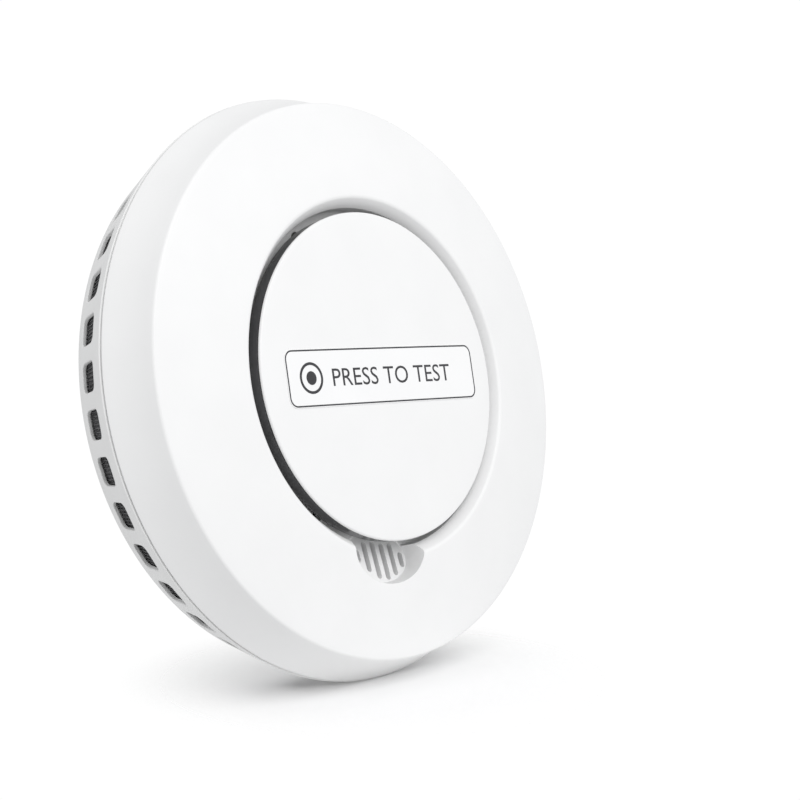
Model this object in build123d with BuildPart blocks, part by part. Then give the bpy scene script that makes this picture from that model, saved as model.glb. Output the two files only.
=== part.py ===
"""Wall or ceiling smoke alarm with a round press-to-test button.

The alarm's axis lies along Y. The back face of its mounting bracket is at y = 0, the front
looks along -Y, and +Z is the twelve o'clock side. Sections are drawn in a plane whose own x is
the radius and whose own y is the distance in front of the wall, so "d_" sizes are such distances.
"""

from math import cos, radians, sin, sqrt
import os

from build123d import *

# ---- driving dimensions, millimetres ----
WIDEST_R = 60.0          # case radius at the joint line between cover and rear housing
BACK_R = 55.25           # rear housing radius at its back edge
FACE_R = 56.4            # radius of the cover's front edge
D_BACK = 3.0             # back edge of the rear housing
D_JOINT = D_BACK + 12.25
D_FACE = D_JOINT + 11.1
D_WELL_RIM = D_FACE + 3.65
WALL = 2.0               # moulded wall of the two case shells
REVEAL = 0.3             # open joint line between the shells

WELL_RIM_R = 36.3        # mouth of the button well
WELL_R = 34.5
WELL_BEVEL = 2.5
D_WELL_FLOOR = 24.3
D_WELL_UNDER = 22.5
GUIDE_R = 18.0           # bore in the well floor that guides the button

BUTTON_R = 33.2
D_BUTTON_EDGE = 29.75
BUTTON_CROWN = 0.45
BUTTON_T = 1.05
BUTTON_TRAVEL = 0.8

BRACKET_R = 43.5
BRACKET_T = 2.2
RECESS_R = 44.5          # recess in the back of the housing that takes the bracket
D_RECESS = 6.5
D_FLOOR = D_RECESS + 1.8
SCREW_SPAN = 60.0        # centre distance of each pair of wall screw slots
SLOT_W = 4.4
SLOT_L = 9.0
HOOK_ANGLES = (30, 150, 270)

VENTS = 40
VENT_W = 5.7
VENT_H = 5.75
D_VENT = 8.6

BOARD_R = 33.0
BOARD_T = 1.6
D_BOARD = 18.4
BOARD_POST_ANGLES = (90, 210, 330)
BOARD_POST_R = 29.0
CASE_POST_ANGLES = (45, 135, 225, 315)
CASE_POST_R = 50.0

BATTERY_X = 43.0
D_BATTERY = 17.0
BATTERY_R = 8.5
BATTERY_L = 34.0

SOUNDER_Z = -38.7
SOUNDER_R = 14.5
D_SOUNDER = 9.4
D_SOUNDER_TOP = 19.6


def section(angle=0.0):
    """Half-section plane through the axis: own x is radius, own y is distance from the wall."""
    a = radians(angle)
    return Plane(origin=(0, 0, 0), x_dir=(cos(a), 0, sin(a)), z_dir=(sin(a), 0, -cos(a)))


def around(angle, radius, distance):
    """Plane that faces outwards from the axis, with its own y towards the front."""
    a = radians(angle)
    return Plane(
        origin=(radius * cos(a), -distance, radius * sin(a)),
        x_dir=(-sin(a), 0, cos(a)),
        z_dir=(cos(a), 0, sin(a)),
    )


def facing(distance):
    """Plane parallel to the wall that faces the room, with +X right and +Z up."""
    return Plane.XZ.offset(distance)


def polar(radius, angle):
    """Point on a facing plane."""
    return (radius * cos(radians(angle)), radius * sin(radians(angle)))


def write(piece, name):
    """Label a finished piece and write its STEP file."""
    piece.part.label = name
    export_step(piece.part, "parts/" + name + ".step")


os.makedirs("parts", exist_ok=True)

# ---- mounting bracket: plate, wall screw slots and three bayonet hooks ----
HOOK_IN_R, HOOK_POST_R, HOOK_LIP_R = 36.5, 38.3, 41.3
D_LIP, D_HOOK_TOP = 4.7, 5.9
HOOK_SPAN = 18.0
STOP_SPAN = 1.4
PLATE_RIM_W, PLATE_WEB_T = 1.6, 1.5
RIB_R, RIB_W, RIB_H = 21.5, 1.5, 3.4

with BuildPart() as mounting_bracket:
    with BuildSketch(section()):
        with BuildLine():
            Polyline(
                (0, 0), (BRACKET_R, 0), (BRACKET_R, BRACKET_T), (BRACKET_R - PLATE_RIM_W, BRACKET_T),
                (BRACKET_R - PLATE_RIM_W, PLATE_WEB_T), (RIB_R, PLATE_WEB_T), (RIB_R, RIB_H),
                (RIB_R - RIB_W, RIB_H), (RIB_R - RIB_W, PLATE_WEB_T), (0, PLATE_WEB_T), close=True,
            )
        make_face()
    revolve(axis=Axis.Y)
    for hook_angle in HOOK_ANGLES:
        with BuildSketch(section(hook_angle - HOOK_SPAN / 2)):
            with BuildLine():
                Polyline(
                    (HOOK_IN_R, BRACKET_T - 1.2), (HOOK_POST_R, BRACKET_T - 1.2), (HOOK_POST_R, D_LIP),
                    (HOOK_LIP_R, D_LIP), (HOOK_LIP_R, D_HOOK_TOP - 0.4),
                    (HOOK_LIP_R - 0.4, D_HOOK_TOP), (HOOK_IN_R, D_HOOK_TOP), close=True,
                )
            make_face()
        revolve(axis=Axis((0, 0, 0), (0, -1, 0)), revolution_arc=HOOK_SPAN)
        with BuildSketch(section(hook_angle - HOOK_SPAN / 2)):
            with BuildLine():
                Polyline(
                    (HOOK_IN_R, BRACKET_T - 1.2), (HOOK_LIP_R, BRACKET_T - 1.2),
                    (HOOK_LIP_R, D_LIP + 0.3), (HOOK_IN_R, D_LIP + 0.3), close=True,
                )
            make_face()
        revolve(axis=Axis((0, 0, 0), (0, -1, 0)), revolution_arc=STOP_SPAN)
    with BuildSketch(facing(0)):
        with Locations((SCREW_SPAN / 2, 0), (-SCREW_SPAN / 2, 0)):
            SlotOverall(SLOT_L, SLOT_W)
        with Locations((0, SCREW_SPAN / 2), (0, -SCREW_SPAN / 2)):
            SlotOverall(SLOT_L, SLOT_W, rotation=90)
    extrude(amount=BRACKET_T + 2, mode=Mode.SUBTRACT)
write(mounting_bracket, "mounting_bracket")

# ---- rear housing: recess for the bracket, vented rim, screw posts and bayonet tabs ----
RIM_SLOPE = (WIDEST_R - BACK_R) / (D_JOINT - D_BACK)


def rim_r(distance):
    """Outer radius of the rear housing's rim."""
    return BACK_R + RIM_SLOPE * (distance - D_BACK)


TONGUE_R = 57.0
TONGUE_IN_R = 55.6
D_TONGUE = D_JOINT + 1.9
D_SHELF = 4.8
CASE_POST_OUT_R = 3.2
D_POST_TOP = 14.0
SCREW_R = 1.4
SCREW_SEAT_R, SCREW_SEAT_DEPTH = 2.9, 2.5
VENT_CORNER_R = 1.3
VENT_WALL = 0.8                  # the rim is thinner behind a groove where the vents are
D_GROOVE, D_GROOVE_TOP = 5.1, 12.7
TAB_SPAN = 14.0
TAB_IN_R, TAB_OUT_R = 39.0, RECESS_R + 0.8
D_TAB, D_TAB_TOP = 3.1, 4.35
BOARD_POST_OUT_R, BOARD_SCREW_HOLE_R = 2.6, 1.05

with BuildPart() as rear_housing:
    with BuildSketch(section()) as housing_section:
        with BuildLine():
            Polyline(
                (0, D_RECESS), (RECESS_R, D_RECESS), (RECESS_R, D_BACK), (BACK_R, D_BACK),
                (WIDEST_R, D_JOINT), (TONGUE_R, D_JOINT), (TONGUE_R, D_TONGUE),
                (TONGUE_IN_R, D_TONGUE), (TONGUE_IN_R, D_JOINT - 1.0),
                (rim_r(D_JOINT - 2.0) - WALL, D_JOINT - 2.0),
                (rim_r(D_GROOVE_TOP) - WALL, D_GROOVE_TOP), (rim_r(D_GROOVE_TOP) - VENT_WALL, D_GROOVE_TOP),
                (rim_r(D_GROOVE) - VENT_WALL, D_GROOVE), (rim_r(D_GROOVE) - WALL, D_GROOVE),
                (rim_r(D_SHELF) - WALL, D_SHELF),
                (RECESS_R + 1.7, D_SHELF), (RECESS_R + 1.7, D_FLOOR), (0, D_FLOOR), close=True,
            )
        make_face()
        fillet(housing_section.vertices().sort_by_distance((BACK_R, D_BACK))[0], radius=1.0)
    revolve(axis=Axis.Y)
    vent_planes = [around(k * 360 / VENTS, TONGUE_IN_R - 4, D_VENT) for k in range(VENTS)]
    with BuildSketch(*vent_planes):
        RectangleRounded(VENT_W, VENT_H, VENT_CORNER_R)
    extrude(amount=12, mode=Mode.SUBTRACT)
    for tab_angle in HOOK_ANGLES:
        with BuildSketch(section(tab_angle - TAB_SPAN / 2)):
            with BuildLine():
                Polyline(
                    (TAB_IN_R, D_TAB), (TAB_OUT_R, D_TAB), (TAB_OUT_R, D_TAB_TOP),
                    (TAB_IN_R, D_TAB_TOP), close=True,
                )
            make_face()
        revolve(axis=Axis((0, 0, 0), (0, -1, 0)), revolution_arc=TAB_SPAN)
    with BuildSketch(facing(D_SHELF - 1.0)):
        with PolarLocations(CASE_POST_R, len(CASE_POST_ANGLES), start_angle=CASE_POST_ANGLES[0]):
            Circle(CASE_POST_OUT_R)
    extrude(amount=D_POST_TOP - D_SHELF + 1.0)
    with BuildSketch(facing(D_BACK)):
        with PolarLocations(CASE_POST_R, len(CASE_POST_ANGLES), start_angle=CASE_POST_ANGLES[0]):
            Circle(SCREW_R + 0.3)
    extrude(amount=D_POST_TOP, mode=Mode.SUBTRACT)
    with BuildSketch(facing(D_BACK)):
        with PolarLocations(CASE_POST_R, len(CASE_POST_ANGLES), start_angle=CASE_POST_ANGLES[0]):
            Circle(SCREW_SEAT_R)
    extrude(amount=SCREW_SEAT_DEPTH, mode=Mode.SUBTRACT)
    with BuildSketch(facing(D_FLOOR - 0.5)):
        with PolarLocations(BOARD_POST_R, len(BOARD_POST_ANGLES), start_angle=BOARD_POST_ANGLES[0]):
            Circle(BOARD_POST_OUT_R)
    extrude(amount=D_BOARD - D_FLOOR + 0.5)
    with BuildSketch(facing(D_FLOOR + 1.5)):
        with PolarLocations(BOARD_POST_R, len(BOARD_POST_ANGLES), start_angle=BOARD_POST_ANGLES[0]):
            Circle(BOARD_SCREW_HOLE_R)
    extrude(amount=D_BOARD - D_FLOOR, mode=Mode.SUBTRACT)
write(rear_housing, "rear_housing")

# ---- insect screen: a thin steel mesh cone in the groove just inside the vents ----
SCREEN_GAP = 0.15
SCREEN_T = 0.4
D_SCREEN, D_SCREEN_TOP = 5.4, 12.2
screen_back_r = rim_r(D_SCREEN) - VENT_WALL - SCREEN_GAP
screen_front_r = rim_r(D_SCREEN_TOP) - VENT_WALL - SCREEN_GAP
with BuildPart() as insect_screen:
    with BuildSketch(section()):
        with BuildLine():
            Polyline(
                (screen_back_r, D_SCREEN), (screen_front_r, D_SCREEN_TOP),
                (screen_front_r - SCREEN_T, D_SCREEN_TOP), (screen_back_r - SCREEN_T, D_SCREEN), close=True,
            )
        make_face()
    revolve(axis=Axis.Y)
write(insect_screen, "insect_screen")

# ---- front cover: flared skirt, shallow cone face, button well and sounder grille ----
D_SKIRT = D_JOINT + REVEAL
SKIRT_R = WIDEST_R - 0.05
COVER_BOSS_R = 3.2
GRILLE_SLOT_W = 1.35
GRILLE_PITCH = 2.45
GRILLE_INNER = (34.3, 32.7, 32.7, 33.1, 33.1, 35.0)
GRILLE_OUTER = (37.0, 38.9, 40.3, 40.6, 39.7, 38.1)
SCOOP_TILT = 13.0                # the scoop's floor rises away from the button
SCOOP_FLOOR = (8.6, 5.3)         # half axes of the scoop at its floor and at its mouth
SCOOP_MOUTH = (10.2, 8.0)
FLOOR_AT, MOUTH_AT = (-0.8, -1.5), (-2.1, -1.5)       # their middles, from the well's wall
GRILLE_X = 0.3
SCOOP_HEIGHT = 7.0
D_PAD_TOP = D_FACE + 1.6
PAD_W, PAD_IN, PAD_END = 23.0, 32.0, 45.0             # thick pad behind the scooped grille
LIGHT_R, LIGHTS = 31.8, 6        # lamps that shine through windows into the light ring
LIGHT_WINDOW_R = 1.2

with BuildPart() as front_cover:
    with BuildSketch(section()) as cover_section:
        with BuildLine():
            skirt_foot = (SKIRT_R, D_SKIRT)
            face_edge = (FACE_R, D_FACE)
            well_rim = (WELL_RIM_R, D_WELL_RIM)
            ThreePointArc(skirt_foot, (57.55, D_FACE - 5.0), face_edge)
            ThreePointArc(face_edge, (46.2, D_FACE + 2.05), well_rim)
            Polyline(
                well_rim, (WELL_R, D_WELL_RIM - WELL_BEVEL), (WELL_R, D_WELL_FLOOR),
                (GUIDE_R, D_WELL_FLOOR), (GUIDE_R, D_WELL_UNDER), (WELL_R + 1.6, D_WELL_UNDER),
                (WELL_R + 1.6, D_WELL_RIM - 3.6), (WELL_R + 2.8, D_WELL_RIM - 2.4),
                (FACE_R - 1.6, D_FACE - 1.9), (FACE_R - 0.9, D_FACE - 5.0),
                (SKIRT_R - WALL, D_SKIRT), skirt_foot,
            )
        make_face()
        for corner, radius in ((face_edge, 0.7), (well_rim, 0.9), (skirt_foot, 0.3)):
            fillet(cover_section.vertices().sort_by_distance(corner)[0], radius=radius)
    revolve(axis=Axis.Y)
    with BuildSketch(facing(D_WELL_UNDER)):
        with Locations((0, -(PAD_IN + PAD_END) / 2)):
            RectangleRounded(PAD_W, PAD_END - PAD_IN, 1.0)
        Circle(WELL_R + 0.8, mode=Mode.SUBTRACT)
    extrude(amount=D_PAD_TOP - D_WELL_UNDER)
    with BuildSketch(facing(D_POST_TOP + 0.3)):
        with PolarLocations(CASE_POST_R, len(CASE_POST_ANGLES), start_angle=CASE_POST_ANGLES[0]):
            Circle(COVER_BOSS_R)
    extrude(amount=D_FACE - D_POST_TOP - 0.8)
    with BuildSketch(facing(D_POST_TOP)):
        with PolarLocations(CASE_POST_R, len(CASE_POST_ANGLES), start_angle=CASE_POST_ANGLES[0]):
            Circle(SCREW_R + 0.02)
    extrude(amount=9.0, mode=Mode.SUBTRACT)
    scoop_plane = Plane(
        origin=(0, -D_WELL_FLOOR, -WELL_R),
        x_dir=(1, 0, 0),
        z_dir=(0, -cos(radians(SCOOP_TILT)), sin(radians(SCOOP_TILT))),
    )
    with BuildSketch(scoop_plane):
        with Locations(FLOOR_AT):
            Ellipse(*SCOOP_FLOOR)
    with BuildSketch(scoop_plane.offset(SCOOP_HEIGHT)):
        with Locations(MOUTH_AT):
            Ellipse(*SCOOP_MOUTH)
    loft(mode=Mode.SUBTRACT)
    with BuildSketch(facing(D_WELL_UNDER - 1)):
        for k, (inner, outer) in enumerate(zip(GRILLE_INNER, GRILLE_OUTER)):
            with Locations((GRILLE_X + (k - 2.5) * GRILLE_PITCH, -(inner + outer) / 2)):
                SlotOverall(outer - inner, GRILLE_SLOT_W, rotation=90)
    extrude(amount=9, mode=Mode.SUBTRACT)
    with BuildSketch(facing(D_WELL_UNDER - 1)):
        with PolarLocations(LIGHT_R, LIGHTS):
            Circle(LIGHT_WINDOW_R)
    extrude(amount=4, mode=Mode.SUBTRACT)
write(front_cover, "front_cover")

# ---- case screws: four pan-head thread-forming screws driven from the back ----
SCREW_HEAD_R, SCREW_HEAD_T, SCREW_L = 2.6, 1.6, 16.5
CROSS_L, CROSS_W, CROSS_DEPTH = 3.0, 0.6, 0.8
D_SCREW_SEAT = D_BACK + SCREW_SEAT_DEPTH
with BuildPart() as case_screws:
    with BuildSketch(facing(D_SCREW_SEAT - SCREW_HEAD_T)):
        with PolarLocations(CASE_POST_R, len(CASE_POST_ANGLES), start_angle=CASE_POST_ANGLES[0]):
            Circle(SCREW_HEAD_R)
    extrude(amount=SCREW_HEAD_T)
    with BuildSketch(facing(D_SCREW_SEAT)):
        with PolarLocations(CASE_POST_R, len(CASE_POST_ANGLES), start_angle=CASE_POST_ANGLES[0]):
            Circle(SCREW_R)
    extrude(amount=SCREW_L)
    with BuildSketch(facing(D_SCREW_SEAT - SCREW_HEAD_T)):
        with PolarLocations(CASE_POST_R, len(CASE_POST_ANGLES), start_angle=CASE_POST_ANGLES[0]):
            Rectangle(CROSS_L, CROSS_W)
            Rectangle(CROSS_W, CROSS_L)
    extrude(amount=CROSS_DEPTH, mode=Mode.SUBTRACT)
write(case_screws, "case_screws")

# ---- circuit board: round, cut straight beside the sounder, held by three screws ----
BOARD_CHORD_Z = -22.5
D_BOARD_FRONT = D_BOARD + BOARD_T
with BuildPart() as circuit_board:
    with BuildSketch(facing(D_BOARD)):
        Circle(BOARD_R)
        with Locations((0, BOARD_CHORD_Z - 10)):
            Rectangle(2 * BOARD_R, 20, mode=Mode.SUBTRACT)
        with PolarLocations(BOARD_POST_R, len(BOARD_POST_ANGLES), start_angle=BOARD_POST_ANGLES[0]):
            Circle(1.3, mode=Mode.SUBTRACT)
    extrude(amount=BOARD_T)
write(circuit_board, "circuit_board")

with BuildPart() as board_screws:
    with BuildSketch(facing(D_BOARD_FRONT)):
        with PolarLocations(BOARD_POST_R, len(BOARD_POST_ANGLES), start_angle=BOARD_POST_ANGLES[0]):
            Circle(2.2)
    extrude(amount=1.5)
    with BuildSketch(facing(D_BOARD - 6.0)):
        with PolarLocations(BOARD_POST_R, len(BOARD_POST_ANGLES), start_angle=BOARD_POST_ANGLES[0]):
            Circle(1.0)
    extrude(amount=6.0 + BOARD_T)
    with BuildSketch(facing(D_BOARD_FRONT + 0.7)):
        with PolarLocations(BOARD_POST_R, len(BOARD_POST_ANGLES), start_angle=BOARD_POST_ANGLES[0]):
            Rectangle(2.6, 0.5)
            Rectangle(0.5, 2.6)
    extrude(amount=1.0, mode=Mode.SUBTRACT)
write(board_screws, "board_screws")

# ---- smoke chamber: black base with two optic holders, vaned cap and a fine steel gauze ----
CHAMBER_R = 22.4
D_CHAMBER = 8.7
D_BASE = 17.0
VANES = 20
D_OPTICS = 13.4
OPTIC_R = 2.5
OPTIC_ANGLES = (25, 155)     # emitter and receiver look past each other, never face to face

with BuildPart() as chamber_base:
    with BuildSketch(facing(D_BASE)):
        Circle(CHAMBER_R + 1.3)
    extrude(amount=D_BOARD - D_BASE)
    for optic_angle in OPTIC_ANGLES:
        with BuildSketch(around(optic_angle, 7.5, D_OPTICS)):
            with Locations((0, 0.3)):
                Rectangle(8.0, 7.4)
        extrude(amount=8.0)
        with BuildSketch(around(optic_angle, 7.0, D_OPTICS)):
            Circle(OPTIC_R + 0.02)
        extrude(amount=9.0, mode=Mode.SUBTRACT)
write(chamber_base, "chamber_base")

with BuildPart() as chamber_cap:
    with BuildSketch(facing(D_CHAMBER)):
        Circle(CHAMBER_R)
    extrude(amount=1.0)
    with BuildSketch(facing(D_CHAMBER + 0.8)):
        with PolarLocations(19.4, VANES):
            RectangleRounded(5.2, 0.9, 0.4, rotation=55)
    extrude(amount=D_BASE - D_CHAMBER - 1.0)
write(chamber_cap, "chamber_cap")

with BuildPart() as chamber_mesh:
    with BuildSketch(facing(D_CHAMBER + 0.2)):
        Circle(CHAMBER_R + 0.9)
        Circle(CHAMBER_R + 0.6, mode=Mode.SUBTRACT)
    extrude(amount=D_BASE - D_CHAMBER - 0.2)
write(chamber_mesh, "chamber_mesh")

for name, optic_angle in zip(("infrared_led", "photodiode"), OPTIC_ANGLES):
    with BuildPart() as optic:
        with BuildSketch(around(optic_angle, 9.0, D_OPTICS)):
            Circle(OPTIC_R)
        extrude(amount=5.6)
        with Locations(around(optic_angle, 9.0, D_OPTICS)):
            Sphere(OPTIC_R)
        with BuildSketch(around(optic_angle, 14.6, D_OPTICS)):
            with Locations((1.27, 0), (-1.27, 0)):
                Rectangle(0.5, 0.5)
        extrude(amount=1.6)
    write(optic, name)

# ---- test switch: body, steel plate and a long-travel plunger at the board's centre ----
PLUNGER_R = 1.7
D_SWITCH_TOP = D_BOARD_FRONT + 3.4
D_PLUNGER_TOP = 24.9
with BuildPart() as switch_body:
    with BuildSketch(facing(D_BOARD_FRONT)):
        RectangleRounded(6.0, 6.0, 0.5)
    extrude(amount=3.4)
    with BuildSketch(facing(D_BOARD_FRONT + 0.3)):
        Circle(PLUNGER_R + 0.05)
    extrude(amount=4.0, mode=Mode.SUBTRACT)
write(switch_body, "switch_body")

with BuildPart() as switch_plate:
    with BuildSketch(facing(D_SWITCH_TOP)):
        RectangleRounded(5.8, 5.8, 0.4)
        Circle(PLUNGER_R + 0.35, mode=Mode.SUBTRACT)
    extrude(amount=0.3)
write(switch_plate, "switch_plate")

with BuildPart() as switch_plunger:
    with BuildSketch(facing(D_BOARD_FRONT + 1.4)):
        Circle(PLUNGER_R)
    extrude(amount=D_PLUNGER_TOP - D_BOARD_FRONT - 1.4)
    chamfer(switch_plunger.edges().group_by(Axis.Y)[0], length=0.25)
write(switch_plunger, "switch_plunger")

# ---- test button: crowned cap with guide collar, smoked light ring under its rim, blank badge ----
D_CAP_UNDER = D_BUTTON_EDGE - BUTTON_T
COLLAR_R = GUIDE_R - 0.08
SPRING_ANGLES = (90, 210, 330)
SPRING_CENTRE_R = 24.5
PIN_R = 1.3
COLLAR_T = 1.3
BOSS_R = 3.0                     # pushes the switch plunger
D_CLIP, D_CLIP_TOP, CLIP_STEP = 21.3, 22.2, 0.9
CLIP_SPAN = 12.0
CROWN_SPHERE_R = (BUTTON_R**2 + BUTTON_CROWN**2) / (2 * BUTTON_CROWN)


def crown_d(radius):
    """Distance of the cap's spherical crown from the wall at a radius."""
    return D_BUTTON_EDGE + BUTTON_CROWN - CROWN_SPHERE_R + sqrt(CROWN_SPHERE_R**2 - radius**2)


with BuildPart() as button_cap:
    with BuildSketch(section()) as cap_section:
        with BuildLine():
            Line((0, D_BUTTON_EDGE + BUTTON_CROWN), (0, D_CAP_UNDER))
            Line((0, D_CAP_UNDER), (BUTTON_R - 0.5, D_CAP_UNDER))
            Line((BUTTON_R - 0.5, D_CAP_UNDER), (BUTTON_R, D_CAP_UNDER + 0.5))
            Line((BUTTON_R, D_CAP_UNDER + 0.5), (BUTTON_R, D_BUTTON_EDGE))
            ThreePointArc(
                (BUTTON_R, D_BUTTON_EDGE), (BUTTON_R / 2, crown_d(BUTTON_R / 2)), (0, crown_d(0))
            )
        make_face()
        fillet(cap_section.vertices().sort_by_distance((BUTTON_R, D_BUTTON_EDGE))[0], radius=0.4)
    revolve(axis=Axis.Y)
    with BuildSketch(facing(D_WELL_UNDER - 0.3)):
        Circle(COLLAR_R)
        Circle(COLLAR_R - COLLAR_T, mode=Mode.SUBTRACT)
    extrude(amount=D_CAP_UNDER - D_WELL_UNDER + 0.8)
    for clip_angle in HOOK_ANGLES:
        with BuildSketch(section(clip_angle - CLIP_SPAN / 2)):
            with BuildLine():
                Polyline(
                    (COLLAR_R - COLLAR_T, D_CLIP), (COLLAR_R - 0.3, D_CLIP),
                    (COLLAR_R + CLIP_STEP, D_CLIP_TOP - 0.2), (COLLAR_R + CLIP_STEP, D_CLIP_TOP),
                    (COLLAR_R - COLLAR_T, D_CLIP_TOP), close=True,
                )
            make_face()
        revolve(axis=Axis((0, 0, 0), (0, -1, 0)), revolution_arc=CLIP_SPAN)
    with BuildSketch(facing(D_PLUNGER_TOP + 0.3)):
        Circle(BOSS_R)
    extrude(amount=D_CAP_UNDER - D_PLUNGER_TOP + 0.2)
    with BuildSketch(facing(D_CAP_UNDER - 1.4)):
        with PolarLocations(SPRING_CENTRE_R, len(SPRING_ANGLES), start_angle=SPRING_ANGLES[0]):
            Circle(PIN_R)
    extrude(amount=1.9)
write(button_cap, "button_cap")

RING_IN_R, RING_OUT_R, D_RING = 31.0, BUTTON_R - 0.25, 25.75
with BuildPart() as light_ring:
    with BuildSketch(section()):
        with BuildLine():
            Polyline(
                (RING_IN_R, D_CAP_UNDER), (RING_OUT_R, D_CAP_UNDER), (RING_OUT_R, D_RING + 0.3),
                (RING_OUT_R - 0.35, D_RING), (RING_IN_R, D_RING), close=True,
            )
        make_face()
    revolve(axis=Axis.Y)
write(light_ring, "light_ring")

BADGE_L, BADGE_H, BADGE_T = 55.0, 11.4, 0.15
BADGE_X, BADGE_TURN = 0.5, 4.8    # stuck on slightly turned
with BuildPart() as button_badge:
    with BuildSketch(section()):
        with BuildLine():
            badge_r = BUTTON_R - 1
            Line((0, crown_d(0)), (0, crown_d(0) + BADGE_T))
            ThreePointArc((0, crown_d(0) + BADGE_T), (badge_r / 2, crown_d(badge_r / 2) + BADGE_T),
                          (badge_r, crown_d(badge_r) + BADGE_T))
            Line((badge_r, crown_d(badge_r) + BADGE_T), (badge_r, crown_d(badge_r)))
            ThreePointArc((badge_r, crown_d(badge_r)), (badge_r / 2, crown_d(badge_r / 2)), (0, crown_d(0)))
        make_face()
    revolve(axis=Axis.Y)
    with BuildSketch(facing(D_BUTTON_EDGE - 1)):
        with Locations((BADGE_X, 0)):
            RectangleRounded(BADGE_L, BADGE_H, 2.0, rotation=BADGE_TURN)
    extrude(amount=3, mode=Mode.INTERSECT)
write(button_badge, "button_badge")

# ---- three small coil springs push the button out ----
SPRING_R = 1.9
SPRING_WIRE_R = 0.2
SPRING_TURNS = 3
spring_height = D_CAP_UNDER - D_WELL_FLOOR - 2 * SPRING_WIRE_R - 0.06
with BuildPart() as button_springs:
    for spring_angle in SPRING_ANGLES:
        x, z = polar(SPRING_CENTRE_R, spring_angle)
        base = Plane(
            origin=(x, -(D_WELL_FLOOR + SPRING_WIRE_R + 0.03), z), x_dir=(1, 0, 0), z_dir=(0, -1, 0)
        )
        coil = base.location * Helix(spring_height / SPRING_TURNS, spring_height, SPRING_R)
        with BuildSketch(Plane(origin=coil @ 0, z_dir=coil % 0)):
            Circle(SPRING_WIRE_R)
        sweep(path=coil, is_frenet=True)
write(button_springs, "button_springs")

# ---- parts on the board's front: ring lamps, processor, radio module and its can ----
with BuildPart() as ring_leds:
    with BuildSketch(facing(D_BOARD_FRONT)):
        with PolarLocations(LIGHT_R, LIGHTS):
            Rectangle(2.0, 1.2)
    extrude(amount=0.8)
    split(bisect_by=Plane.XY.offset(BOARD_CHORD_Z + 0.5), keep=Keep.TOP)
write(ring_leds, "ring_leds")

with BuildPart() as microcontroller:
    with BuildSketch(facing(D_BOARD_FRONT + 0.05)):
        with Locations((13.5, -14.0)):
            RectangleRounded(7.0, 7.0, 0.3)
    extrude(amount=0.9)
    with BuildSketch(facing(D_BOARD_FRONT)):
        with Locations((13.5, -14.0)):
            with GridLocations(0.8, 8.0, 8, 2):
                Rectangle(0.35, 1.2)
            with GridLocations(8.0, 0.8, 2, 8):
                Rectangle(1.2, 0.35)
    extrude(amount=0.25)
write(microcontroller, "microcontroller")

RADIO_ANGLE = 150
with BuildPart() as radio_module:
    with BuildSketch(facing(D_BOARD_FRONT)):
        with Locations(polar(25.7, RADIO_ANGLE)):
            Rectangle(10.4, 17.0, rotation=RADIO_ANGLE)
    extrude(amount=0.8)
write(radio_module, "radio_module")

with BuildPart() as radio_shield:
    with BuildSketch(facing(D_BOARD_FRONT + 0.8)):
        with Locations(polar(25.0, RADIO_ANGLE)):
            RectangleRounded(8.6, 12.0, 0.4, rotation=RADIO_ANGLE)
    extrude(amount=1.2)
    chamfer(radio_shield.edges().group_by(Axis.Y)[0], length=0.2)
write(radio_shield, "radio_shield")

# ---- tall parts on the board's back: capacitors, sounder coil and battery socket ----
with BuildPart() as capacitors:
    with BuildSketch(facing(D_BOARD - 7.6)):
        for capacitor_angle in (55, 122):
            with Locations(polar(28.6, capacitor_angle)):
                Circle(3.1)
    extrude(amount=7.6)
write(capacitors, "capacitors")

with BuildPart() as sounder_coil:
    with BuildSketch(facing(D_BOARD - 7.0)):
        with Locations(polar(28.6, 180)):
            Circle(3.9)
    extrude(amount=1.2)
    with BuildSketch(facing(D_BOARD - 5.8)):
        with Locations(polar(28.6, 180)):
            Circle(3.2)
    extrude(amount=4.4)
    with BuildSketch(facing(D_BOARD - 1.4)):
        with Locations(polar(28.6, 180)):
            Circle(3.9)
    extrude(amount=1.4)
write(sounder_coil, "sounder_coil")

with BuildPart() as battery_socket:
    with BuildSketch(facing(D_BOARD - 5.5)):
        with Locations((28.4, 7.0)):
            Rectangle(4.6, 8.0)
    extrude(amount=5.5)
    with BuildSketch(around(0, 28.4, D_BOARD - 2.9)):
        with Locations((7.0, 0)):
            Rectangle(6.4, 3.4)
    extrude(amount=4.0, mode=Mode.SUBTRACT)
    with BuildSketch(around(0, 27.9, D_BOARD - 2.9)):
        with Locations((6.0, 0), (8.0, 0)):
            Rectangle(0.6, 0.6)
    extrude(amount=2.2)
write(battery_socket, "battery_socket")

# ---- piezo sounder below the grille: cup, brass disc, ceramic, cap with outlet neck, seal ----
CUP_WALL = 1.2
D_PIEZO = 12.6
PIEZO_T, CERAMIC_R = 0.25, 9.5
D_CUP_TOP, SOUNDER_LID_T = 16.4, 1.6
PIEZO_R = 13.2
NECK_W, NECK_H = 18.0, 7.0
NECK_Z = -39.0
D_NECK_END = D_SOUNDER_TOP + 1.6
sounder_centre = (0, SOUNDER_Z)
with BuildPart() as sounder_cup:
    with BuildSketch(facing(D_SOUNDER)):
        with Locations(sounder_centre):
            Circle(SOUNDER_R)
    extrude(amount=D_CUP_TOP - D_SOUNDER)
    with BuildSketch(facing(D_SOUNDER + CUP_WALL)):
        with Locations(sounder_centre):
            Circle(PIEZO_R - 1.0)
    extrude(amount=10, mode=Mode.SUBTRACT)
    with BuildSketch(facing(D_PIEZO)):
        with Locations(sounder_centre):
            Circle(PIEZO_R + 0.05)
    extrude(amount=10, mode=Mode.SUBTRACT)
write(sounder_cup, "sounder_cup")

with BuildPart() as piezo_plate:
    with BuildSketch(facing(D_PIEZO)):
        with Locations(sounder_centre):
            Circle(PIEZO_R)
    extrude(amount=PIEZO_T)
write(piezo_plate, "piezo_plate")

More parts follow.
